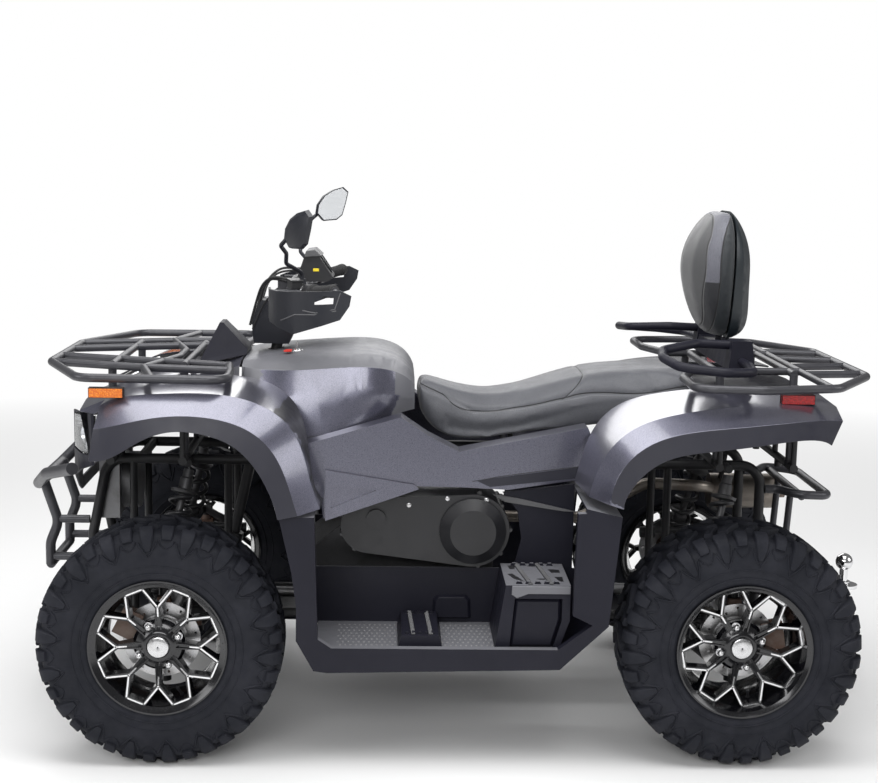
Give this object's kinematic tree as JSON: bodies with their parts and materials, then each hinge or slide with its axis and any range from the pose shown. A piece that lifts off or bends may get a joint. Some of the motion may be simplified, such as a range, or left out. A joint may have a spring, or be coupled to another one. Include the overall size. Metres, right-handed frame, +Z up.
{
  "type": "quad bike",
  "caption": "Two-seat sport utility quad bike with racks, footwells, brush guard, backrest and turning front wheels.",
  "frame": {"origin": "on the ground under the middle of the bounding box", "axes": "+X towards the front, +Y towards the rider's left, +Z up"},
  "size_m": [2.344, 1.181, 1.4437],
  "materials": {
    "body_paint": "glossy metallic dark graphite",
    "console_plastic": "satin mid grey",
    "boot_plastic": "textured black",
    "seat_vinyl": "grained charcoal vinyl",
    "backrest_shell_plastic": "satin dark green-black",
    "rack_powder_coat": "satin dark powder coat",
    "frame_paint": "satin black",
    "tyre_rubber": "matt slate black",
    "wheel_paint": "gloss black with machined edges",
    "hub_metal": "bright machined",
    "cast_metal": "cast",
    "engine_metal": "cast, dull",
    "exhaust_metal": "dull heat-stained",
    "chrome_metal": "polished",
    "grip_rubber": "ribbed black",
    "lamp_lens": "clear moulded lens",
    "red_lens": "red lens",
    "amber_lens": "amber reflector",
    "mirror_glass": "silvered",
    "display_glass": "dark screen"
  },
  "bodies": {
    "chassis": {"air_intake": "boot_plastic", "backrest_pad": "seat_vinyl", "backrest_shell": "backrest_shell_plastic", "belt_cover": "boot_plastic", "console": "console_plastic", "driveline": "cast_metal", "engine": "engine_metal", "exhaust": "exhaust_metal", "footwell_left": "boot_plastic", "footwell_right": "boot_plastic", "frame": "frame_paint", "front_arms": "frame_paint", "front_bumper": "rack_powder_coat", "front_fascia": "boot_plastic", "front_fenders": "body_paint", "front_rack": "rack_powder_coat", "front_reflectors": "amber_lens", "grab_handles": "boot_plastic", "headlamps": "lamp_lens", "hood": "body_paint", "radiator": "cast_metal", "rear_arms": "frame_paint", "rear_fenders": "body_paint", "rear_guard": "rack_powder_coat", "rear_rack": "rack_powder_coat", "rear_reflectors": "red_lens", "rear_uprights": "cast_metal", "seat": "seat_vinyl", "shock_absorbers": "frame_paint", "side_panels": "body_paint", "skid_plate": "boot_plastic", "tail_corners": "boot_plastic", "tail_lamps": "red_lens", "tail_panel": "boot_plastic", "tow_hitch": "chrome_metal"},
    "handlebar_assembly": {"steering_column": "frame_paint", "column_cover": "boot_plastic", "handlebar": "rack_powder_coat", "grips": "grip_rubber", "hand_guards": "boot_plastic", "mirrors": "boot_plastic", "mirror_glasses": "mirror_glass", "display": "display_glass"},
    "left_knuckle": {"knuckle_left": "cast_metal"},
    "right_knuckle": {"knuckle_right": "cast_metal"},
    "left_tie_rod": {"tie_rod_left": "frame_paint"},
    "right_tie_rod": {"tie_rod_right": "frame_paint"},
    "front_left_wheel": {"front_left_tyre": "tyre_rubber", "front_left_rim": "wheel_paint", "front_left_hub": "hub_metal"},
    "front_right_wheel": {"front_right_tyre": "tyre_rubber", "front_right_rim": "wheel_paint", "front_right_hub": "hub_metal"},
    "rear_left_wheel": {"rear_left_tyre": "tyre_rubber", "rear_left_rim": "wheel_paint", "rear_left_hub": "hub_metal"},
    "rear_right_wheel": {"rear_right_tyre": "tyre_rubber", "rear_right_rim": "wheel_paint", "rear_right_hub": "hub_metal"}
  },
  "joints": [
    {"name": "steering", "type": "hinge", "parent": "chassis", "child": "handlebar_assembly", "pos_m": [0.661, 0, 0.36], "axis": [-0.2163, 0, 0.9763], "range_deg": [-32, 32]},
    {"name": "left_kingpin", "type": "hinge", "parent": "chassis", "child": "left_knuckle", "pos_m": [0.771, 0.4425, 0.3125], "axis": [0, 0, 1], "range_deg": [-28, 28]},
    {"name": "left_tie_rod_end", "type": "hinge", "parent": "left_knuckle", "child": "left_tie_rod", "pos_m": [0.69, 0.4325, 0.3232], "axis": [0, 0, 1], "range_deg": [-30, 30]},
    {"name": "front_left_wheel_spin", "type": "hinge", "parent": "left_knuckle", "child": "front_left_wheel", "pos_m": [0.771, 0.4875, 0.3125], "axis": [0, 1, 0], "continuous": true},
    {"name": "right_kingpin", "type": "hinge", "parent": "chassis", "child": "right_knuckle", "pos_m": [0.771, -0.4425, 0.3125], "axis": [0, 0, 1], "range_deg": [-28, 28]},
    {"name": "right_tie_rod_end", "type": "hinge", "parent": "right_knuckle", "child": "right_tie_rod", "pos_m": [0.69, -0.4325, 0.3232], "axis": [0, 0, 1], "range_deg": [-30, 30]},
    {"name": "front_right_wheel_spin", "type": "hinge", "parent": "right_knuckle", "child": "front_right_wheel", "pos_m": [0.771, -0.4875, 0.3125], "axis": [0, 1, 0], "continuous": true},
    {"name": "rear_left_wheel_spin", "type": "hinge", "parent": "chassis", "child": "rear_left_wheel", "pos_m": [-0.709, 0.463, 0.3125], "axis": [0, 1, 0], "continuous": true},
    {"name": "rear_right_wheel_spin", "type": "hinge", "parent": "chassis", "child": "rear_right_wheel", "pos_m": [-0.709, -0.463, 0.3125], "axis": [0, 1, 0], "continuous": true}
  ],
  "couplings": [
    {"joint": "left_kingpin", "follows": "steering", "ratio": 0.8525},
    {"joint": "left_tie_rod_end", "follows": "steering", "ratio": -0.9165},
    {"joint": "right_kingpin", "follows": "steering", "ratio": 0.8525},
    {"joint": "right_tie_rod_end", "follows": "steering", "ratio": -0.9165}
  ]
}
